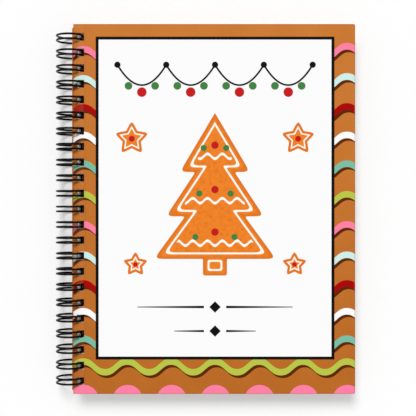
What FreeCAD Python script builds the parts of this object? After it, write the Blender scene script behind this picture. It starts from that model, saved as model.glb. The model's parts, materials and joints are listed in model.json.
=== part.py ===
import FreeCAD, Part
import math
import os
import Sketcher

# A wire-bound gift card book: two printed covers, pages with card pockets, and a double-loop wire.
# X runs from the spine to the fore edge, Y up the cover, Z away from the table. Millimetres.

doc = FreeCAD.newDocument("gift_card_book")
sheet = doc.addObject("Spreadsheet::Sheet", "sizes")

driving = {
    # double-loop wire
    "loop_pitch": 8.467,
    "loop_end_margin": 4.5,
    "loop_radius": 7.45,
    "wire_diameter": 1.0,
    "pair_spacing": 2.55,
    "root_bend_radius": 1.1,
    "wire_tail": 1.2,
    "wire_sides": 6,
    "leg_chords": 15,
    "tip_chords": 5,
    "bend_chords": 2,
    "seam_root_angle": -29.0,
    "seam_tip_angle": -56.8,
    # covers
    "cover_width": 152.4,
    "cover_height": 200.0,
    "cover_thickness": 0.5,
    "cover_corner_radius": 1.0,
    "crease_width": 0.5,
    "crease_depth": 0.12,
    "crease_margin": 0.4,
    "front_spine_edge": 2.3,
    "back_spine_edge": 0.1,
    "front_height": 4.2,
    "back_height": -6.0,
    # punched holes
    "hole_width": 3.8,
    "hole_height": 4.2,
    "hole_margin": 2.05,
    # pages
    "leaf_count": 5,
    "leaf_pitch": 1.55,
    "last_page_height": -3.6,
    "page_width": 148.0,
    "page_inset": 2.0,
    "page_thickness": 0.35,
    "page_corner_radius": 3.0,
    # card pockets
    "card_width": 85.6,
    "card_height": 54.0,
    "card_thickness": 0.76,
    "card_play": 1.2,
    "card_lift": 5.0,
    "pocket_clearance": 0.06,
    "rim_width": 6.0,
    "panel_thickness": 0.22,
    "pocket_corner_radius": 2.0,
    "thumb_radius": 10.0,
    "pocket_place_share": 0.2245,
    "cut_overrun": 1.0,
}
# pages stop short of the covers, and the row of loops fills the pages' height
page_height = driving["cover_height"] - 2 * driving["page_inset"]
row_length = page_height - 2 * driving["loop_end_margin"]
derived = {"page_height": page_height, "loop_count": int(row_length // driving["loop_pitch"]) + 1}
for row, (name, value) in enumerate({**driving, **derived}.items(), start=1):
    sheet.set(f"A{row}", name)
    sheet.set(f"B{row}", str(value))
    sheet.setAlias(f"B{row}", name)
doc.recompute()


def size(name):
    return float(sheet.get(name))


def plane(body, role):
    return next(f for f in body.Origin.OriginFeatures if f.Role == role)


def new_sketch(body, name, lift=None):
    sketch = body.newObject("Sketcher::SketchObject", name)
    sketch.AttachmentSupport = [(plane(body, "XY_Plane"), "")]
    sketch.MapMode = "FlatFace"
    if lift:
        sketch.setExpression(".AttachmentOffset.Base.z", lift)
    return sketch


def bind(sketch, kind, expression, *where):
    index = sketch.addConstraint(Sketcher.Constraint(kind, *where, 1.0))
    sketch.setExpression(f"Constraints[{index}]", expression)


def add_lines(sketch, points):
    # a closed outline of straight sides, each corner shared and each side level or upright
    count = len(points)
    for i, point in enumerate(points):
        after = points[(i + 1) % count]
        sketch.addGeometry(Part.LineSegment(FreeCAD.Vector(*point), FreeCAD.Vector(*after)), False)
    for i in range(count):
        sketch.addConstraint(Sketcher.Constraint("Coincident", i, 2, (i + 1) % count, 1))
    for i, point in enumerate(points):
        after = points[(i + 1) % count]
        kind = "Horizontal" if point[1] == after[1] else "Vertical"
        sketch.addConstraint(Sketcher.Constraint(kind, i))


def rectangle(sketch, left, width, height, lows):
    # sides 0 bottom, 1 right, 2 top, 3 left; lows is how far the bottom edge lies below Y 0
    x, w, h = 1.0, 2.0, 2.0
    add_lines(sketch, [(x, -h), (x + w, -h), (x + w, h), (x, h)])
    if left:
        bind(sketch, "DistanceX", left, -1, 1, 3, 2)
    else:
        sketch.addConstraint(Sketcher.Constraint("PointOnObject", 3, 2, -2))
    bind(sketch, "DistanceX", width, 0, 1, 0, 2)
    bind(sketch, "DistanceY", height, 1, 1, 1, 2)
    bind(sketch, "DistanceY", lows, 0, 1, -1, 1)


def pad(body, sketch, name, length, down=False):
    feature = body.newObject("PartDesign::Pad", name)
    feature.Profile = sketch
    feature.setExpression("Length", length)
    feature.Reversed = down
    return feature


def round_corners(body, base, name, radius, at):
    # rounds the upright edges at the given x positions
    doc.recompute()
    edges = []
    for i, edge in enumerate(base.Shape.Edges, start=1):
        low, high = (v.Point for v in edge.Vertexes)
        if abs(low.x - high.x) + abs(low.y - high.y) < Part.Precision.confusion():
            if min(abs(low.x - x) for x in at) < Part.Precision.confusion():
                edges.append(f"Edge{i}")
    feature = body.newObject("PartDesign::Fillet", name)
    feature.Base = (base, edges)
    feature.setExpression("Radius", radius)
    return feature


def punched_sheet(label, width, height, thickness, corner):
    # a sheet below Z 0 with its spine edge at X 0, rounded fore corners and a row of square holes
    body = doc.addObject("PartDesign::Body", label)
    body.Label = label
    outline = new_sketch(body, f"{label}_outline")
    rectangle(outline, None, f"sizes.{width}", f"sizes.{height}", f"sizes.{height} / 2")
    plate = pad(body, outline, f"{label}_plate", f"sizes.{thickness}", down=True)
    rounded = round_corners(body, plate, f"{label}_corners", f"sizes.{corner}", [size(width)])
    doc.recompute()

    hole = new_sketch(body, f"{label}_hole")
    first = "sizes.loop_pitch * (sizes.loop_count - 1) / 2 + sizes.hole_height / 2"
    rectangle(hole, "sizes.hole_margin", "sizes.hole_width", "sizes.hole_height", first)
    punch = body.newObject("PartDesign::Pocket", f"{label}_punch")
    punch.Profile = hole
    punch.setExpression("Length", f"sizes.{thickness} + sizes.cut_overrun")
    row = body.newObject("PartDesign::LinearPattern", f"{label}_holes")
    row.Originals = [punch]
    row.Direction = (plane(body, "Y_Axis"), [""])
    row.setExpression("Length", "sizes.loop_pitch * (sizes.loop_count - 1)")
    row.setExpression("Occurrences", "sizes.loop_count")
    body.Tip = row
    doc.recompute()
    punched = size("loop_count") * size("hole_width") * size("hole_height") * size(thickness)
    lost = rounded.Shape.Volume - row.Shape.Volume
    if abs(lost - punched) > punched * Part.Precision.confusion():
        raise RuntimeError(f"{label}: the holes took {lost:.3f}, not {punched:.3f} cubic millimetres")
    return body


def cover(label):
    body = punched_sheet(label, "cover_width", "cover_height", "cover_thickness", "cover_corner_radius")
    before = body.Shape.Volume
    line = new_sketch(body, f"{label}_crease_line")
    left = "sizes.hole_margin + sizes.hole_width + sizes.crease_margin"
    tall = "sizes.cover_height + 2 * sizes.cut_overrun"
    low = "sizes.cover_height / 2 + sizes.cut_overrun"
    rectangle(line, left, "sizes.crease_width", tall, low)
    crease = body.newObject("PartDesign::Pocket", f"{label}_crease")
    crease.Profile = line
    crease.setExpression("Length", "sizes.crease_depth")
    body.Tip = crease
    doc.recompute()
    if body.Shape.Volume >= before:
        raise RuntimeError(f"{label}: the crease cut nothing")
    return body


def pocket(label):
    # a three-sided rim with a panel on it, open at the top with a thumb notch; its foot is on Z 0
    body = doc.addObject("PartDesign::Body", label)
    body.Label = label
    outer = "(sizes.card_width + sizes.card_play + 2 * sizes.rim_width)"
    tall = "(sizes.card_height - sizes.card_lift + sizes.rim_width)"
    gap = "(sizes.card_thickness + sizes.pocket_clearance)"
    rim = new_sketch(body, f"{label}_rim_outline")
    x, y, side = 4.0, 3.0, 1.0
    add_lines(rim, [(-x, -y), (x, -y), (x, y), (x - side, y), (x - side, side - y),
                    (side - x, side - y), (side - x, y), (-x, y)])
    bind(rim, "DistanceX", outer, 0, 1, 0, 2)
    bind(rim, "DistanceX", f"{outer} / 2", 0, 1, -1, 1)
    bind(rim, "DistanceY", tall, 1, 1, 1, 2)
    bind(rim, "DistanceY", f"{tall} / 2", 0, 1, -1, 1)
    bind(rim, "DistanceX", "sizes.rim_width", 2, 2, 2, 1)
    bind(rim, "DistanceX", "sizes.rim_width", 6, 2, 6, 1)
    bind(rim, "DistanceY", "sizes.rim_width", 0, 1, 4, 2)
    rim.addConstraint(Sketcher.Constraint("Horizontal", 2, 1, 6, 1))
    wall = pad(body, rim, f"{label}_rim", gap)
    doc.recompute()

    face = new_sketch(body, f"{label}_panel_outline", lift=gap)
    rectangle(face, f"-{outer} / 2", outer, tall, f"{tall} / 2")
    panel = pad(body, face, f"{label}_panel", "sizes.panel_thickness")
    doc.recompute()

    notch = new_sketch(body, f"{label}_thumb_outline", lift=f"{gap} + sizes.panel_thickness")
    notch.addGeometry(Part.Circle(FreeCAD.Vector(0, y, 0), FreeCAD.Vector(0, 0, 1), side), False)
    notch.addConstraint(Sketcher.Constraint("PointOnObject", 0, 3, -2))
    bind(notch, "DistanceY", f"{tall} / 2", -1, 1, 0, 3)
    bind(notch, "Radius", "sizes.thumb_radius", 0)
    thumb = body.newObject("PartDesign::Pocket", f"{label}_thumb")
    thumb.Profile = notch
    thumb.setExpression("Length", "sizes.panel_thickness")
    doc.recompute()
    if thumb.Shape.Volume >= panel.Shape.Volume:
        raise RuntimeError(f"{label}: the thumb notch cut nothing")
    half = (size("card_width") + size("card_play")) / 2 + size("rim_width")
    round_corners(body, thumb, f"{label}_corners", "sizes.pocket_corner_radius", [-half, half])
    return body


def ring_point(angle, y, off=0.0):
    # a point on the loops' circle, moved off along its tangent, with the axis on X 0 and Z 0
    turn, radius = math.radians(angle), size("loop_radius")
    x = radius * math.cos(turn) - off * math.sin(turn)
    z = radius * math.sin(turn) + off * math.cos(turn)
    return FreeCAD.Vector(x, y, z)


def steps(start, end, count):
    return [start + (end - start) * i / count for i in range(count + 1)]


def bend(y, side, root, radius):
    # the quarter turn between the base line and one leg of a hairpin, from the base line up
    turns = [math.radians(a) for a in steps(0, 90, int(size("bend_chords")))]
    return [ring_point(root, y + side * radius * (1 - math.sin(a)), -radius * math.cos(a)) for a in turns]


def wire_points():
    # along the wire: base line, up one leg of a hairpin round the circle, over its tip and back
    pitch, count = size("loop_pitch"), int(size("loop_count"))
    half, radius = size("pair_spacing") / 2, size("root_bend_radius")
    root, tip = size("seam_root_angle"), size("seam_tip_angle") + 360
    turns = steps(root, tip, int(size("leg_chords")))
    first, reach = -pitch * (count - 1) / 2, half + radius
    points = [ring_point(root, first - reach - size("wire_tail"), -radius)]
    for i in range(count):
        y = first + i * pitch
        points += bend(y - half, -1, root, radius)
        points += [ring_point(a, y - half) for a in turns[1:]]
        for a in steps(-90, 90, int(size("tip_chords")))[1:-1]:
            turn = math.radians(a)
            points.append(ring_point(tip, y + half * math.sin(turn), half * math.cos(turn)))
        points += [ring_point(a, y + half) for a in reversed(turns[1:])]
        points += reversed(bend(y + half, 1, root, radius))
    points.append(ring_point(root, -first + reach + size("wire_tail"), -radius))
    return points


def least_gap(points):
    # the wire's least clear distance to itself, on points along a few hairpins
    apart, spacing = 4 * size("wire_diameter"), size("wire_diameter") / 2
    walk, walked = [], 0.0
    for start, end in zip(points, points[1:]):
        length = start.distanceToPoint(end)
        count = max(1, round(length / spacing))
        walk += [(walked + length * i / count, start + (end - start) * (i / count)) for i in range(count)]
        walked += length
    nearest = min(a.distanceToPoint(b) for i, (s, a) in enumerate(walk)
                  for t, b in walk[i + 1:] if t - s > apart)
    return nearest - size("wire_diameter")


def faceted_tube(points, sides, width):
    # flat-sided tube along the points, mitred at each, with flats square to the circle's radius
    corner = width / 2 / math.cos(math.pi / sides)
    ways = [(b - a).normalize() for a, b in zip(points, points[1:])]
    out = FreeCAD.Vector(points[0].x, 0, points[0].z).normalize()
    side = ways[0].cross(out)
    angles = [2 * math.pi * (i + 0.5) / sides for i in range(sides)]
    ring = [points[0] + (out * math.cos(a) + side * math.sin(a)) * corner for a in angles]
    faces = [Part.Face(Part.makePolygon(ring + ring[:1]))]
    for i, way in enumerate(ways):
        mitre = way + ways[min(i + 1, len(ways) - 1)]
        after = [p + way * ((points[i + 1] - p).dot(mitre) / way.dot(mitre)) for p in ring]
        for k in range(sides):
            n = (k + 1) % sides
            faces.append(Part.Face(Part.makePolygon([ring[k], ring[n], after[n], after[k], ring[k]])))
        ring = after
    faces.append(Part.Face(Part.makePolygon(ring + ring[:1])))
    solid = Part.makeSolid(Part.makeShell(faces))
    return solid if solid.Volume > 0 else solid.reversed()


def double_loop_wire(label):
    points, sides, width = wire_points(), int(size("wire_sides")), size("wire_diameter")
    tube = faceted_tube(points, sides, width)
    length = sum(a.distanceToPoint(b) for a, b in zip(points, points[1:]))
    area = sides * math.tan(math.pi / sides) * width ** 2 / 4
    print(f"wire: {length:.1f} mm long, volume {tube.Volume:.1f}, section times length {length * area:.1f}")
    few = 4 * len(points) // int(size("loop_count"))
    print(f"wire: least gap to itself {least_gap(points[:few]):.2f} mm")
    feature = doc.addObject("Part::Feature", label)
    feature.Label = label
    feature.Shape = tube
    return feature


def page_level(number):
    return size("last_page_height") + (size("leaf_count") - number) * size("leaf_pitch")


def page_spine_edge(height):
    # each page slides on the wire until the wire stands in the middle of its holes
    across = math.sqrt(size("loop_radius") ** 2 - height ** 2)
    return across - size("hole_margin") - size("hole_width") / 2


# the loops' axis stands where the whole book is centred on X 0 and the loops rest on Z 0
pieces = [double_loop_wire("wire_binding")]
loops = pieces[0].Shape.BoundBox
axis_x = -(loops.XMin + size("front_spine_edge") + size("cover_width")) / 2
axis_z = -loops.ZMin
pieces[0].Placement.Base = FreeCAD.Vector(axis_x, 0, axis_z)

front, back = cover("front_cover"), cover("back_cover")
upper = axis_z + size("front_height") + size("cover_thickness") / 2
front.Placement.Base = FreeCAD.Vector(axis_x + size("front_spine_edge"), 0, upper)
# the back cover's printed side faces down, so its crease does too
under = axis_z + size("back_height") - size("cover_thickness") / 2
back.Placement = FreeCAD.Placement(
    FreeCAD.Vector(axis_x + size("back_spine_edge"), 0, under),
    FreeCAD.Rotation(FreeCAD.Vector(1, 0, 0), 180))
pieces += [front, back]

for number in range(1, int(size("leaf_count")) + 1):
    height = page_level(number)
    page = punched_sheet(f"leaf_{number}_page", "page_width", "page_height", "page_thickness",
                         "page_corner_radius")
    edge = axis_x + page_spine_edge(height)
    top = axis_z + height + size("page_thickness") / 2
    page.Placement.Base = FreeCAD.Vector(edge, 0, top)
    pieces.append(page)
    punched_strip = size("hole_margin") + size("hole_width")
    middle = edge + punched_strip + (size("page_width") - punched_strip) / 2
    for name, side in (("upper", 1), ("lower", -1)):
        holder = pocket(f"leaf_{number}_{name}_pocket")
        place = side * size("page_height") * size("pocket_place_share")
        holder.Placement.Base = FreeCAD.Vector(middle, place, top)
        pieces.append(holder)

doc.recompute()
for item in doc.Objects:
    if "Invalid" in item.State or "Error" in item.State:
        raise RuntimeError(f"{item.Label} failed: {item.State}")
for piece in pieces:
    if piece.Shape.isNull() or not piece.Shape.isValid() or len(piece.Shape.Solids) != 1:
        raise RuntimeError(f"{piece.Label} is not one valid solid")

os.makedirs("parts", exist_ok=True)
for piece in pieces:
    piece.Shape.exportStep(f"parts/{piece.Label}.step")
print(f"{len(pieces)} pieces written")
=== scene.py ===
import json
import math
import bmesh
import bpy
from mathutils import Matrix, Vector


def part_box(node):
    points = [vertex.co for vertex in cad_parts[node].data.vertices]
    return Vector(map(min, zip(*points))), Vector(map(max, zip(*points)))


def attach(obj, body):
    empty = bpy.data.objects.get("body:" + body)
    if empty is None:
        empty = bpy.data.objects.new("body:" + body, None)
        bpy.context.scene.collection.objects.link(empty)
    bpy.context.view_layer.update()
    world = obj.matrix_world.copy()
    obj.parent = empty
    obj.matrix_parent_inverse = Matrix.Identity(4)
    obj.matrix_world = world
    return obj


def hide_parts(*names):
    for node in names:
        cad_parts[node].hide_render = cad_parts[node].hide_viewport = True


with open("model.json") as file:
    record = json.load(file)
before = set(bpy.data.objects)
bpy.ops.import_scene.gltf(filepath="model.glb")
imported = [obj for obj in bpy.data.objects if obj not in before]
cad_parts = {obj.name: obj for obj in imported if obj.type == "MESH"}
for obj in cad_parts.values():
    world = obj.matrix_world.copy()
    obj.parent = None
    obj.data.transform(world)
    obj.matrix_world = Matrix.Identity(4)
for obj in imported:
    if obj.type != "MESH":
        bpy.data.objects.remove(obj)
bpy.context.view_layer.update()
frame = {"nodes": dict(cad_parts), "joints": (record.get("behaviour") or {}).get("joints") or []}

nodes = frame["nodes"]
mm = 0.001


def rgb(red, green, blue):
    # a printed colour, 0 to 255 as seen, as the linear colour that the shader takes
    def linear(value):
        value /= 255
        return value / 12.92 if value <= 0.04045 else ((value + 0.055) / 1.055) ** 2.4
    return (linear(red), linear(green), linear(blue), 1.0)


class Sock:
    # one output of a node, so that sums on it add Math nodes
    def __init__(self, tree, socket):
        self.tree = tree
        self.socket = socket

    def __add__(self, other): return self.tree.maths("ADD", self, other)
    def __radd__(self, other): return self.tree.maths("ADD", other, self)
    def __sub__(self, other): return self.tree.maths("SUBTRACT", self, other)
    def __rsub__(self, other): return self.tree.maths("SUBTRACT", other, self)
    def __mul__(self, other): return self.tree.maths("MULTIPLY", self, other)
    def __rmul__(self, other): return self.tree.maths("MULTIPLY", other, self)
    def __truediv__(self, other): return self.tree.maths("DIVIDE", self, other)
    def __rtruediv__(self, other): return self.tree.maths("DIVIDE", other, self)
    def __mod__(self, other): return self.tree.maths("FLOORED_MODULO", self, other)
    def __abs__(self): return self.tree.maths("ABSOLUTE", self)
    def __neg__(self): return self.tree.maths("MULTIPLY", self, -1.0)


class Tree:
    # the nodes of a material, of the world or of a Geometry Nodes group
    def __init__(self, owner):
        self.owner = owner
        group = owner
        if not isinstance(owner, bpy.types.NodeTree):
            owner.use_nodes = True
            group = owner.node_tree
        self.nodes, self.links = group.nodes, group.links
        self.nodes.clear()

    def make(self, kind, settings=None, sockets=None, out=0):
        node = self.nodes.new(kind)
        for name, value in (settings or {}).items():
            setattr(node, name, value)
        for name, value in (sockets or {}).items():
            if isinstance(value, Sock):
                self.links.new(value.socket, node.inputs[name])
            else:
                node.inputs[name].default_value = value
        return Sock(self, node.outputs[out]) if node.outputs else node

    def every(self, kind, sockets=None):
        # all the outputs of a new node, by name
        outputs = self.make(kind, None, sockets).socket.node.outputs
        return {output.name: Sock(self, output) for output in outputs}

    def maths(self, operation, *values, clamp=False):
        settings = {"operation": operation, "use_clamp": clamp}
        return self.make("ShaderNodeMath", settings, dict(enumerate(values)))

    def mix(self, factor, first, second):
        # a Mix node has its colours in sockets 6 and 7, and the mixed colour in output 2
        sockets = {0: factor, 6: first, 7: second}
        return self.make("ShaderNodeMix", {"data_type": "RGBA"}, sockets, out=2)

    def place(self):
        # Object coordinates, whole and as x, y and z
        whole = self.make("ShaderNodeTexCoord", out="Object")
        parts = self.every("ShaderNodeSeparateXYZ", {0: whole})
        return whole, parts["X"], parts["Y"], parts["Z"]

    def noise(self, where, scale, detail=3.0, rough=0.55):
        return self.make("ShaderNodeTexNoise", None,
                         {"Vector": where, "Scale": scale, "Detail": detail, "Roughness": rough})

    def length(self, x, y):
        return self.maths("SQRT", x * x + y * y)

    def boxShape(self, x, y, halfWide, halfTall, corner=None):
        # signed distance of an upright box about 0, 0, with rounded corners if a size is given
        across, along = abs(x) - halfWide, abs(y) - halfTall
        if corner is None:
            return self.maths("MAXIMUM", across, along)
        return self.maths("SMOOTH_MAX", across, along, corner)

    def inside(self, shape, soft=0.12):
        # 1 where a signed distance in mm is below 0, with an edge of soft mm
        return self.maths("ADD", shape * (-1 / soft), 0.5, clamp=True)

    def paint(self, colour, shape, tint, soft=0.12, share=None):
        # tint laid over colour inside a shape, whole or in part
        mask = self.inside(shape, soft)
        return self.mix(mask if share is None else mask * share, colour, tint)

    def bump(self, height, strength, distance):
        return self.make("ShaderNodeBump", None,
                         {"Height": height, "Strength": strength, "Distance": distance})

    def finish(self, colour, roughness, normal, specular):
        skin = self.make("ShaderNodeBsdfPrincipled", None,
                         {"Base Color": colour, "Roughness": roughness, "Normal": normal,
                          "Specular IOR Level": specular})
        self.make("ShaderNodeOutputMaterial", None, {"Surface": skin})
        return self.owner


# The loops' axis and the covers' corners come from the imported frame
hinge = next(j for j in frame["joints"] if j["name"] == "front_cover_turn")
axisX, _, axisZ = hinge["pos_m"]
frontLow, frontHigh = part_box("front_cover")
backLow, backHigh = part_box("back_cover")
print("frame: loops' axis at", round(axisX, 5), round(axisZ, 5))


# Printed stripes, in mm from the cover's spine edge (u) and from its top edge (v)
stripes = {
    "period": 23.77, "peak": 5.35, "amplitude": 2.88, "thickness": 3.5,
    "roundness": 0.04,  # share of a third harmonic, which rounds the crests
    "slopeShare": 0.4,  # 0 keeps the thickness upright, 1 keeps it square to the line
    "fanFrom": 10.0, "fanTo": 147.0, "fanEnd": 58.0, "fanShare": 1 / 30,
    "levels": [13.55, 29.35, 45.0, 59.95, 75.55, 92.05,
               108.35, 124.75, 140.2, 155.3, 170.15, 182.5],
    "colours": [rgb(253, 128, 163), rgb(206, 238, 231), rgb(169, 0, 2),
                rgb(252, 252, 252), rgb(119, 190, 164), rgb(184, 197, 72)],
    "shadow": rgb(90, 35, 0), "shadowRight": 1.0, "shadowDown": 1.4, "shadowSoft": 0.3,
    "scallopPeak": 5.62, "scallopCentre": 203.28, "scallopRadius": 8.16,
    "rim": rgb(176, 104, 20), "rimWide": 0.35, "rimSoft": 0.6, "rimShare": 0.4,
    "brown": rgb(210, 128, 56), "brownDeep": rgb(184, 104, 36),
    # the brown's darkening per mm down the cover is painted shade, of light that falls from the
    # top
    "mottle": (55.0, 5.0), "mottleShare": 0.6, "paintedShadePerMm": 0.0034,
}


def waveLine(tree, u):
    # how far a stripe dips below its crests at u, and the factor from upright to true distance
    perMm = 2 * math.pi / stripes["period"]
    third = stripes["roundness"]
    plain, cubed = (1 + 3 * third) / (1 - third), 4 * third / (1 - third)
    turn = (u - stripes["peak"]) * perMm
    cosine = tree.maths("COSINE", turn)
    square = cosine * cosine
    dip = (1 - cosine * (plain - square * cubed)) * stripes["amplitude"]
    steepest = stripes["amplitude"] * perMm
    slope = tree.maths("SINE", turn) * (plain - square * (3 * cubed)) * steepest
    lean = tree.maths("POWER", slope * slope + 1.0, -stripes["slopeShare"] / 2)
    return dip, lean


def stripePrint(tree, where, u, v):
    mottle = tree.noise(where, *stripes["mottle"]) * stripes["mottleShare"]
    # random mottle, plus painted shade: the brown darker towards the bottom of the cover
    colour = tree.mix(mottle + v * stripes["paintedShadePerMm"], stripes["brown"], stripes["brownDeep"])
    # the topmost stripes rise a little towards the fore edge
    across = (u - stripes["fanFrom"]) / (stripes["fanTo"] - stripes["fanFrom"])
    rise = tree.maths("MAXIMUM", (stripes["fanEnd"] - v) * stripes["fanShare"], 0.0)
    fanned = v + across * rise
    half = stripes["thickness"] / 2
    castDip, castLean = waveLine(tree, u - stripes["shadowRight"])
    dip, lean = waveLine(tree, u)
    for i, level in enumerate(stripes["levels"]):
        cast = abs(fanned - castDip - (level + stripes["shadowDown"])) * castLean - half
        colour = tree.paint(colour, cast, stripes["shadow"], stripes["shadowSoft"])
        band = abs(fanned - dip - level) * lean - half
        colour = tree.paint(colour, band, stripes["colours"][i % len(stripes["colours"])])
    # a row of scallops along the bottom, with a soft rim
    period = stripes["period"]
    aside = (u - stripes["scallopPeak"] + period / 2) % period - period / 2
    scallop = tree.length(aside, v - stripes["scallopCentre"]) - stripes["scallopRadius"]
    colour = tree.paint(colour, scallop - stripes["rimWide"], stripes["rim"],
                        stripes["rimSoft"], stripes["rimShare"])
    return tree.paint(colour, scallop, stripes["colours"][0])


# The white panel with its black line, the iced biscuits on it, and its garland and rules
panel = {
    "left": 12.1, "right": 141.2, "top": 6.8, "bottom": 181.4, "line": 1.6,
    "white": rgb(250, 250, 250), "ink": rgb(6, 6, 6),
}
biscuits = {
    "centre": (76.6, 92.0),
    "ginger": rgb(243, 137, 43), "crust": rgb(222, 112, 26),
    "icing": rgb(255, 250, 240), "red": rgb(196, 26, 30), "green": rgb(66, 128, 66),
    "crumbs": (420.0, 2.0), "crumbContrast": 1.4, "crumbShare": 0.35,
    "spotScale": 170.0, "spotSize": 0.13, "spotSoft": 0.06, "spotShare": 0.6,
    "rimWide": 1.3, "rimSoft": 0.9, "rimShare": 0.75,
    # each tier's tip, base and half width, then the trunk's half width, top and foot
    "tiers": [(-44.0, -12.0, 19.0), (-28.0, 12.0, 26.5), (-10.0, 35.0, 33.0)],
    "tierRound": 5.0, "tierBlend": 2.0,
    "trunk": (6.5, 33.0, 44.0), "trunkRound": 2.0, "trunkBlend": 1.0,
    "outlineInset": 3.0, "outlinePen": 1.0,
    "waveInset": 4.6, "wavePeriod": 8.0, "waveHigh": 1.3, "waveUp": 8.5, "wavePen": 1.5,
    # a bead's place as a share of the tier's half width, its radius and its colour
    "beads": [(0.0, 2.0, "red"), (0.32, 1.7, "green")], "beadUp": 14.5, "beadLean": 0.25,
    # a star's place and size
    "stars": [(-45.0, -30.0, 10.0), (45.0, -30.0, 10.0), (-43.0, 38.0, 7.5), (43.0, 38.0, 7.5)],
    "starNotch": 0.52, "starTip": 0.9, "starRound": 2.0,
    "starInset": 1.7, "starPen": 0.7, "starBead": 0.16,
}
ornament = {
    "left": 23.85, "right": 129.45, "swags": 4, "hang": 22.0, "sag": 11.0, "pen": 1.0,
    # a lamp's place in its swag, its radius and its colour
    "lamps": [(0.0, 14.8, 2.6, biscuits["red"]), (7.2, 11.4, 2.1, biscuits["green"]),
              (13.2, 0.0, 1.7, panel["ink"])],
    # a rule's level and half length
    "rules": [(153.0, 42.0), (166.0, 22.0)],
    "rulePen": 1.5, "ruleTaper": 0.7, "ruleGap": 6.0, "diamond": 2.2,
}


def firShape(tree, x, y):
    # signed distance of a fir tree of tiers and a trunk
    shape = None
    for apex, base, half in biscuits["tiers"]:
        tall = base - apex
        slant = (abs(x) * tall - (y - apex) * half) / math.hypot(tall, half)
        tier = tree.maths("SMOOTH_MAX", slant, y - base, biscuits["tierRound"])
        if shape is None:
            shape = tier
        else:
            shape = tree.maths("SMOOTH_MIN", shape, tier, biscuits["tierBlend"])
    half, top, foot = biscuits["trunk"]
    trunk = tree.boxShape(x, y - (top + foot) / 2, half, (foot - top) / 2, biscuits["trunkRound"])
    return tree.maths("SMOOTH_MIN", shape, trunk, biscuits["trunkBlend"])


def starShape(tree, x, y, size):
    # signed distance of a five-pointed star
    fifth = 2 * math.pi / 5
    around = tree.maths("ARCTAN2", x, -y) % fifth
    turn = fifth / 2 - abs(around - fifth / 2)
    far = tree.length(x, y)
    notch = size * biscuits["starNotch"]
    edge = Vector((notch * math.cos(fifth / 2) - size, notch * math.sin(fifth / 2)))
    out = Vector((edge.y, -edge.x)).normalized()
    along, aside = far * tree.maths("COSINE", turn), far * tree.maths("SINE", turn)
    side = (along - size) * out.x + aside * out.y
    return tree.maths("SMOOTH_MAX", side, far - size * biscuits["starTip"], biscuits["starRound"])


def beadShape(tree, x, y, atX, atY, radius):
    # a bead and its mirror image
    return tree.length(abs(x) - atX, y - atY) - radius


def bakedPrint(tree, colour, shape, where):
    crust = biscuits["crust"]
    crumbs = (tree.noise(where, *biscuits["crumbs"]) - 0.5) * biscuits["crumbContrast"]
    browned = tree.maths("ADD", crumbs, biscuits["crumbShare"], clamp=True)
    baked = tree.mix(browned, biscuits["ginger"], crust)
    spots = tree.make("ShaderNodeTexVoronoi", {"voronoi_dimensions": "2D"},
                      {"Vector": where, "Scale": biscuits["spotScale"]})
    baked = tree.paint(baked, spots - biscuits["spotSize"], crust,
                       biscuits["spotSoft"], biscuits["spotShare"])
    baked = tree.paint(baked, -biscuits["rimWide"] - shape, crust,
                       biscuits["rimSoft"], biscuits["rimShare"])
    return tree.paint(colour, shape, baked)


def biscuitPrint(tree, colour, where, u, v):
    icing = biscuits["icing"]
    centreU, centreV = biscuits["centre"]
    x, y = u - centreU, v - centreV
    fir = firShape(tree, x, y)
    colour = bakedPrint(tree, colour, fir, where)
    outline = abs(fir + biscuits["outlineInset"]) - biscuits["outlinePen"] / 2
    colour = tree.paint(colour, outline, icing)
    within = tree.inside(fir + biscuits["waveInset"])
    wave = tree.maths("COSINE", x * (2 * math.pi / biscuits["wavePeriod"])) * biscuits["waveHigh"]
    for _, base, half in biscuits["tiers"]:
        line = abs(y - wave - (base - biscuits["waveUp"])) - biscuits["wavePen"] / 2
        colour = tree.paint(colour, line, icing, share=within)
        for share, radius, tint in biscuits["beads"]:
            atX = half * share
            atY = base - biscuits["beadUp"] + atX * biscuits["beadLean"]
            colour = tree.paint(colour, beadShape(tree, x, y, atX, atY, radius), biscuits[tint])
    for atX, atY, size in biscuits["stars"]:
        starX, starY = x - atX, y - atY
        star = starShape(tree, starX, starY, size)
        colour = bakedPrint(tree, colour, star, where)
        outline = abs(star + biscuits["starInset"]) - biscuits["starPen"] / 2
        colour = tree.paint(colour, outline, icing)
        bead = tree.length(starX, starY) - size * biscuits["starBead"]
        colour = tree.paint(colour, bead, biscuits["red"])
    return colour


def ornamentPrint(tree, colour, u, v):
    # a garland along the top, each swag a parabola
    left, right, sag = ornament["left"], ornament["right"], ornament["sag"]
    span = (right - left) / ornament["swags"]
    x, y = (u - left) % span - span / 2, v - ornament["hang"]
    slope = x * (-8 * sag / span ** 2)
    string = y - sag + x * x * (4 * sag / span ** 2)
    line = abs(string) * tree.maths("INVERSE_SQRT", slope * slope + 1.0) - ornament["pen"] / 2
    ends = abs(u - (left + right) / 2) - (right - left) / 2
    colour = tree.paint(colour, tree.maths("MAXIMUM", line, ends), panel["ink"])
    for atX, atY, radius, tint in ornament["lamps"]:
        lamp = tree.maths("MAXIMUM", beadShape(tree, x, y, atX, atY, radius), ends - radius)
        colour = tree.paint(colour, lamp, tint)
    # two plain rules along the bottom, each with a diamond in its middle
    x = abs(u - (panel["left"] + panel["right"]) / 2)
    gap = ornament["ruleGap"]
    for level, half in ornament["rules"]:
        y = abs(v - level)
        thin = ornament["rulePen"] / 2 * (1 - x / half * ornament["ruleTaper"])
        rule = tree.maths("MAXIMUM", y - thin, abs(x - (half + gap) / 2) - (half - gap) / 2)
        diamond = (x + y) * math.sqrt(0.5) - ornament["diamond"]
        colour = tree.paint(colour, tree.maths("MINIMUM", rule, diamond), panel["ink"])
    return colour


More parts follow.
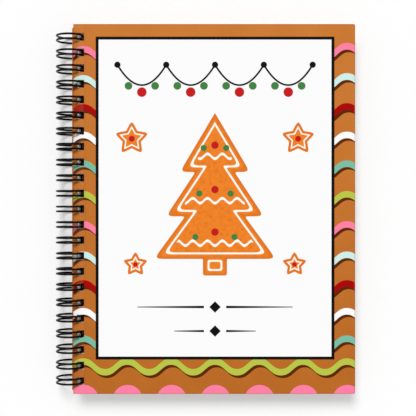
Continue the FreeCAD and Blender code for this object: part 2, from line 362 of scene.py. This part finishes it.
def panelPrint(tree, colour, where, u, v):
    midU, midV = (panel["left"] + panel["right"]) / 2, (panel["top"] + panel["bottom"]) / 2
    box = tree.boxShape(u - midU, v - midV, panel["right"] - midU, panel["bottom"] - midV)
    paper = biscuitPrint(tree, panel["white"], where, u, v)
    paper = ornamentPrint(tree, paper, u, v)
    colour = tree.paint(colour, box, panel["ink"])
    return tree.paint(colour, box + panel["line"], paper)


# Cover card: printed, with a satin coat, a fine grain, a painted highlight beside the score line
# and darker cut edges
card = {
    "inside": rgb(186, 106, 42), "insideMottle": 90.0, "skin": 0.18, "skinSoft": 0.02,
    # the bend tint, share and per-mm rise give a painted highlight on the strip left of the score
    # line
    "paintedHighlightTint": rgb(224, 170, 122), "highlightShare": 0.01, "highlightPerMm": 0.008,
    "scoreAt": 5.5, "scoreSoft": 0.4,
    "cut": rgb(150, 78, 24), "cutWide": 0.45, "cutSoft": 0.7, "cutShare": 0.35,
    "grain": (2600.0, 2.0), "bump": (0.05, 0.0004),
    "roughness": 0.5, "rubbed": 140.0, "rubbedShare": 0.14, "specular": 0.05,
}


def coverMaterial(name, low, high, printedUp, withPanel):
    tree = Tree(bpy.data.materials.new(name))
    where, x, y, z = tree.place()
    u, v = (x - low.x) / mm, (high.y - y) / mm
    printed = stripePrint(tree, where, u, v)
    if withPanel:
        printed = panelPrint(tree, printed, where, u, v)
    # painted highlight: the strip between the spine edge and the score line is lightened, most
    # near the score
    highlightStrength = u * card["highlightPerMm"] + card["highlightShare"]
    printed = tree.paint(printed, u - card["scoreAt"], card["paintedHighlightTint"], card["scoreSoft"], highlightStrength)
    halfWide, halfTall = (high.x - low.x) / mm / 2, (high.y - low.y) / mm / 2
    edge = tree.boxShape(u - halfWide, v - halfTall, halfWide, halfTall)
    printed = tree.paint(printed, -card["cutWide"] - edge, card["cut"],
                         card["cutSoft"], card["cutShare"])
    # the print is only skin deep, on the side that faces out
    depth = (high.z - z) / mm if printedUp else (z - low.z) / mm
    plain = tree.mix(tree.noise(where, card["insideMottle"]), card["inside"], stripes["brownDeep"])
    colour = tree.paint(plain, depth - card["skin"], printed, card["skinSoft"])
    roughness = card["roughness"] + tree.noise(where, card["rubbed"]) * card["rubbedShare"]
    grain = tree.bump(tree.noise(where, *card["grain"]), *card["bump"])
    return tree.finish(colour, roughness, grain, card["specular"])


# Page paper: fibres, a fine printed border and two lines to write on
page = {
    "white": rgb(250, 248, 243), "fleck": rgb(240, 236, 227),
    "cloud": (35.0, 4.0), "cloudShare": 0.6,
    "fibre": (1100.0, 5.0, 0.7), "fibreShare": 0.4, "whiter": 0.15,
    "inset": 7.0, "sideInset": 3.0, "aside": 2.0, "round": 4.0,
    "border": 0.5, "innerGap": 1.6, "innerBorder": 0.24,
    "ruleLevels": (-5.5, 4.5), "ruleHalf": 36.0, "rulePen": 0.3, "ruleShare": 0.8,
    "roughness": 0.78, "roughShare": 0.12, "bump": (0.12, 0.0004), "specular": 0.2,
}


def pageMaterial():
    low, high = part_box("leaf_3_page")
    tree = Tree(bpy.data.materials.new("pagePaper"))
    where, x, y, _ = tree.place()
    u, v = (x - (low.x + high.x) / 2) / mm, y / mm
    cloud = tree.noise(where, *page["cloud"]) * page["cloudShare"]
    fibre = tree.noise(where, *page["fibre"])
    flecks = tree.maths("ADD", cloud, fibre * page["fibreShare"] - page["whiter"], clamp=True)
    colour = tree.mix(flecks, page["white"], page["fleck"])
    halfWide = (high.x - low.x) / mm / 2 - page["inset"] - page["sideInset"]
    halfTall = (high.y - low.y) / mm / 2 - page["inset"]
    edge = tree.boxShape(u + page["aside"], v, halfWide, halfTall, page["round"])
    colour = tree.paint(colour, abs(edge) - page["border"] / 2, stripes["colours"][4])
    inner = abs(edge + page["innerGap"]) - page["innerBorder"] / 2
    colour = tree.paint(colour, inner, stripes["brown"])
    for level in page["ruleLevels"]:
        rule = tree.boxShape(u, v - level, page["ruleHalf"], page["rulePen"] / 2)
        colour = tree.paint(colour, rule, stripes["shadow"], share=page["ruleShare"])
    roughness = page["roughness"] + fibre * page["roughShare"]
    return tree.finish(colour, roughness, tree.bump(fibre, *page["bump"]), page["specular"])


# Pocket card: cream, with three pale printed waves and a fine line round the panel
pocket = {
    "cream": rgb(246, 240, 228), "creamDeep": rgb(238, 228, 210), "fibre": (900.0, 5.0, 0.7),
    "waves": [(35.0, 4), (40.5, 1), (46.0, 0)],  # level, and which of the stripes' colours
    "waveHalf": 1.3, "waveHigh": 0.6, "waveInset": 8.0, "waveShare": 0.85,
    "lineInset": 3.0, "linePen": 0.4,
    "roughness": 0.72, "roughShare": 0.1, "bump": (0.1, 0.0004), "specular": 0.25,
}


def pocketMaterial(name, node):
    low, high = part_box(node)
    tree = Tree(bpy.data.materials.new(name))
    where, x, y, _ = tree.place()
    u, v = (x - low.x) / mm, (high.y - y) / mm
    halfWide, halfTall = (high.x - low.x) / mm / 2, (high.y - low.y) / mm / 2
    aside = u - halfWide
    fibre = tree.noise(where, *pocket["fibre"])
    colour = tree.mix(fibre, pocket["cream"], pocket["creamDeep"])
    dip, lean = waveLine(tree, aside + stripes["peak"])
    ends = abs(aside) - (halfWide - pocket["waveInset"])
    for level, tint in pocket["waves"]:
        band = abs(v - dip * pocket["waveHigh"] - level) * lean - pocket["waveHalf"]
        colour = tree.paint(colour, tree.maths("MAXIMUM", band, ends),
                            stripes["colours"][tint], share=pocket["waveShare"])
    inset = pocket["lineInset"]
    border = tree.boxShape(aside, v - halfTall, halfWide - inset, halfTall - inset)
    colour = tree.paint(colour, abs(border) - pocket["linePen"] / 2, stripes["brown"])
    roughness = pocket["roughness"] + fibre * pocket["roughShare"]
    return tree.finish(colour, roughness, tree.bump(fibre, *pocket["bump"]), pocket["specular"])


def dress(name, material):
    nodes[name].data.materials.clear()
    nodes[name].data.materials.append(material)


dress("front_cover", coverMaterial("frontCoverPrint", frontLow, frontHigh, True, True))
dress("back_cover", coverMaterial("backCoverPrint", backLow, backHigh, False, False))
pagePaper = pageMaterial()
upperCard = pocketMaterial("upperPocketCard", "leaf_1_upper_pocket")
lowerCard = pocketMaterial("lowerPocketCard", "leaf_1_lower_pocket")
for name in nodes:
    if name.endswith("_page"):
        dress(name, pagePaper)
    elif name.endswith("_upper_pocket"):
        dress(name, upperCard)
    elif name.endswith("_lower_pocket"):
        dress(name, lowerCard)
print("covers, pages and pockets: dressed")


# Double-loop wire: one hairpin, repeated along the spine
wire = {
    "radius": 0.565 * mm, "pitch": 8.467 * mm, "count": 23, "pair": 2.55 * mm, "bend": 1.1 * mm,
    "rootAngle": -29.0, "tipAngle": 303.2, "weld": 0.01 * mm,
    "sides": 14, "legSteps": 60, "tipSteps": 12, "bendSteps": 6,
    "coat": rgb(1, 1, 1), "worn": rgb(5, 5, 6), "wear": (260.0, 4.0), "fine": (3200.0, 2.0),
    "roughness": 0.12, "roughShare": 0.1, "bump": (0.05, 0.0002), "specular": 0.08,
}


def wireMaterial():
    tree = Tree(bpy.data.materials.new("blackWireCoat"))
    where = tree.make("ShaderNodeTexCoord", out="Object")
    wear = tree.noise(where, *wire["wear"])
    colour = tree.mix(wear, wire["coat"], wire["worn"])
    roughness = wire["roughness"] + wear * wire["roughShare"]
    fine = tree.bump(tree.noise(where, *wire["fine"]), *wire["bump"])
    return tree.finish(colour, roughness, fine, wire["specular"])


def hairpinPoints():
    circle = axisZ - wire["radius"]  # the loops rest on the table
    half, bend = wire["pair"] / 2, wire["bend"]

    def onCircle(angle, y, off=0.0):
        turn = math.radians(angle)
        return Vector((axisX + circle * math.cos(turn) - off * math.sin(turn), y,
                       axisZ + circle * math.sin(turn) + off * math.cos(turn)))

    root, tip = wire["rootAngle"], wire["tipAngle"]
    side = [onCircle(root, -wire["pitch"] / 2, -bend)]
    for i in range(wire["bendSteps"] + 1):  # the root bend
        a = math.radians(90 * i / wire["bendSteps"])
        side.append(onCircle(root, -half - bend * (1 - math.sin(a)), -bend * math.cos(a)))
    for i in range(1, wire["legSteps"] + 1):  # the leg, round the loop
        side.append(onCircle(root + (tip - root) * i / wire["legSteps"], -half))
    over = []
    for i in range(1, wire["tipSteps"]):  # the tip, across to the other leg
        a = math.radians(180 * i / wire["tipSteps"] - 90)
        over.append(onCircle(tip, half * math.sin(a), half * math.cos(a)))
    return side + over + [Vector((p.x, -p.y, p.z)) for p in reversed(side)]


def loopGroup(coat):
    group = bpy.data.node_groups.new("wireLoops", "GeometryNodeTree")
    for way in ("INPUT", "OUTPUT"):
        group.interface.new_socket("Geometry", in_out=way, socket_type="NodeSocketGeometry")
    for name, kind in (("Loop Count", "NodeSocketInt"), ("Loop Pitch", "NodeSocketFloat"),
                       ("First Loop", "NodeSocketFloat"), ("Wire Radius", "NodeSocketFloat"),
                       ("Wire Sides", "NodeSocketInt")):
        group.interface.new_socket(name, in_out="INPUT", socket_type=kind)
    tree = Tree(group)
    given = tree.every("NodeGroupInput")
    ring = tree.make("GeometryNodeCurvePrimitiveCircle", None,
                     {"Resolution": given["Wire Sides"], "Radius": given["Wire Radius"]})
    tube = tree.make("GeometryNodeCurveToMesh", None,
                     {"Curve": given["Geometry"], "Profile Curve": ring})
    start = tree.make("ShaderNodeCombineXYZ", None, {"Y": given["First Loop"]})
    step = tree.make("ShaderNodeCombineXYZ", None, {"Y": given["Loop Pitch"]})
    row = tree.make("GeometryNodeMeshLine", None,
                    {"Count": given["Loop Count"], "Start Location": start, "Offset": step})
    shape = tree.make("GeometryNodeInstanceOnPoints", None, {"Points": row, "Instance": tube})
    shape = tree.make("GeometryNodeRealizeInstances", None, {"Geometry": shape})
    shape = tree.make("GeometryNodeMergeByDistance", None,
                      {"Geometry": shape, "Distance": wire["weld"]})
    shape = tree.make("GeometryNodeSetShadeSmooth", None, {"Geometry": shape})
    shape = tree.make("GeometryNodeSetMaterial", None, {"Geometry": shape, "Material": coat})
    tree.make("NodeGroupOutput", None, {"Geometry": shape})
    return group


def wireBinding():
    curve = bpy.data.curves.new("hairpinPath", "CURVE")
    curve.dimensions = "3D"
    points = hairpinPoints()
    spline = curve.splines.new("POLY")
    spline.points.add(len(points) - 1)
    for point, place in zip(spline.points, points):
        point.co = (*place, 1.0)
    path = bpy.data.objects.new("hairpinPath", curve)
    bpy.context.scene.collection.objects.link(path)
    group = loopGroup(wireMaterial())
    modifier = path.modifiers.new("loops", "NODES")
    modifier.node_group = group
    values = {"Loop Count": wire["count"], "Loop Pitch": wire["pitch"],
              "First Loop": -wire["pitch"] * (wire["count"] - 1) / 2,
              "Wire Radius": wire["radius"], "Wire Sides": wire["sides"]}
    for socket in group.interface.items_tree:
        if socket.in_out == "INPUT" and socket.name in values:
            modifier[socket.identifier] = values[socket.name]
    evaluated = path.evaluated_get(bpy.context.evaluated_depsgraph_get())
    mesh = bpy.data.meshes.new_from_object(evaluated)
    bpy.data.objects.remove(path)
    # close the wire's two ends
    shape = bmesh.new()
    shape.from_mesh(mesh)
    bmesh.ops.holes_fill(shape, edges=[e for e in shape.edges if e.is_boundary], sides=0)
    bmesh.ops.recalc_face_normals(shape, faces=shape.faces)
    shape.to_mesh(mesh)
    shape.free()
    piece = bpy.data.objects.new("wireBinding", mesh)
    bpy.context.scene.collection.objects.link(piece)
    return piece


loops = wireBinding()
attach(loops, "wire_binding")
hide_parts("wire_binding")
print("wire:", len(loops.data.polygons), "faces")


# Floor, light and camera
studio = {
    "floorSize": 60.0, "floorColour": (0.82, 0.82, 0.82, 1.0),
    "shownColour": (0.63, 0.63, 0.63, 1.0), "glow": 0.36, "underInset": 0.8, "underSoft": 1.0,
    "white": (1, 1, 1, 1), "skyStrength": 0.41, "backdropStrength": 1.0,
    "sunStrength": 2.37, "sunAngle": 26.0, "sunFrom": (-0.32, 1.3, 1.78),
}
view = {"centre": (1.74 * mm, 0.54 * mm), "above": 470 * mm, "span": 224.95 * mm}


def shownRays(tree):
    # 1 for what is seen straight, mirrored or through glass, 0 for what only lights the book
    rays = tree.every("ShaderNodeLightPath")
    seen = tree.maths("MAXIMUM", rays["Is Camera Ray"], rays["Is Glossy Ray"])
    return tree.maths("MAXIMUM", seen, rays["Is Transmission Ray"])


def floorMaterial():
    tree = Tree(bpy.data.materials.new("paleFloor"))
    matt = tree.make("ShaderNodeBsdfDiffuse", None, {"Color": studio["floorColour"]})
    shown = tree.make("ShaderNodeBsdfDiffuse", None, {"Color": studio["shownColour"]})
    glow = tree.make("ShaderNodeEmission", None,
                     {"Color": studio["white"], "Strength": studio["glow"]})
    lit = tree.make("ShaderNodeAddShader", None, {0: shown, 1: glow})
    # under the book the floor doesn't glow, so that the holes show dark
    _, x, y, _ = tree.place()
    middle, size = (backLow + backHigh) / 2, backHigh - backLow
    under = tree.boxShape(x - middle.x, y - middle.y, size.x / 2, size.y / 2) / mm
    clear = 1 - tree.inside(under + studio["underInset"], studio["underSoft"])
    both = tree.make("ShaderNodeMixShader", None, {0: shownRays(tree) * clear, 1: matt, 2: lit})
    tree.make("ShaderNodeOutputMaterial", None, {"Surface": both})
    return tree.owner


def floor():
    half = studio["floorSize"] / 2
    corners = [(-half, -half, 0), (half, -half, 0), (half, half, 0), (-half, half, 0)]
    mesh = bpy.data.meshes.new("floor")
    mesh.from_pydata(corners, [], [(0, 1, 2, 3)])
    mesh.materials.append(floorMaterial())
    piece = bpy.data.objects.new("floor", mesh)
    bpy.context.scene.collection.objects.link(piece)


def lights():
    world = bpy.data.worlds.new("studio")
    bpy.context.scene.world = world
    tree = Tree(world)
    sky = tree.make("ShaderNodeBackground", None,
                    {"Color": studio["white"], "Strength": studio["skyStrength"]})
    backdrop = tree.make("ShaderNodeBackground", None,
                         {"Color": studio["white"], "Strength": studio["backdropStrength"]})
    both = tree.make("ShaderNodeMixShader", None, {0: shownRays(tree), 1: sky, 2: backdrop})
    tree.make("ShaderNodeOutputWorld", None, {"Surface": both})
    lamp = bpy.data.lights.new("softSun", "SUN")
    lamp.energy, lamp.angle = studio["sunStrength"], math.radians(studio["sunAngle"])
    sun = bpy.data.objects.new("softSun", lamp)
    sun.location = studio["sunFrom"]
    sun.rotation_euler = (-Vector(studio["sunFrom"])).to_track_quat("-Z", "Y").to_euler()
    bpy.context.scene.collection.objects.link(sun)


def camera():
    lens = bpy.data.cameras.new("overhead")
    lens.angle = 2 * math.atan(view["span"] / 2 / view["above"])
    eye = bpy.data.objects.new("overhead", lens)
    eye.location = (*view["centre"], frontHigh.z + view["above"])
    bpy.context.scene.collection.objects.link(eye)
    bpy.context.scene.camera = eye


floor()
lights()
camera()
bpy.context.scene.view_settings.view_transform = "Standard"
print("studio: floor, lights and camera placed")
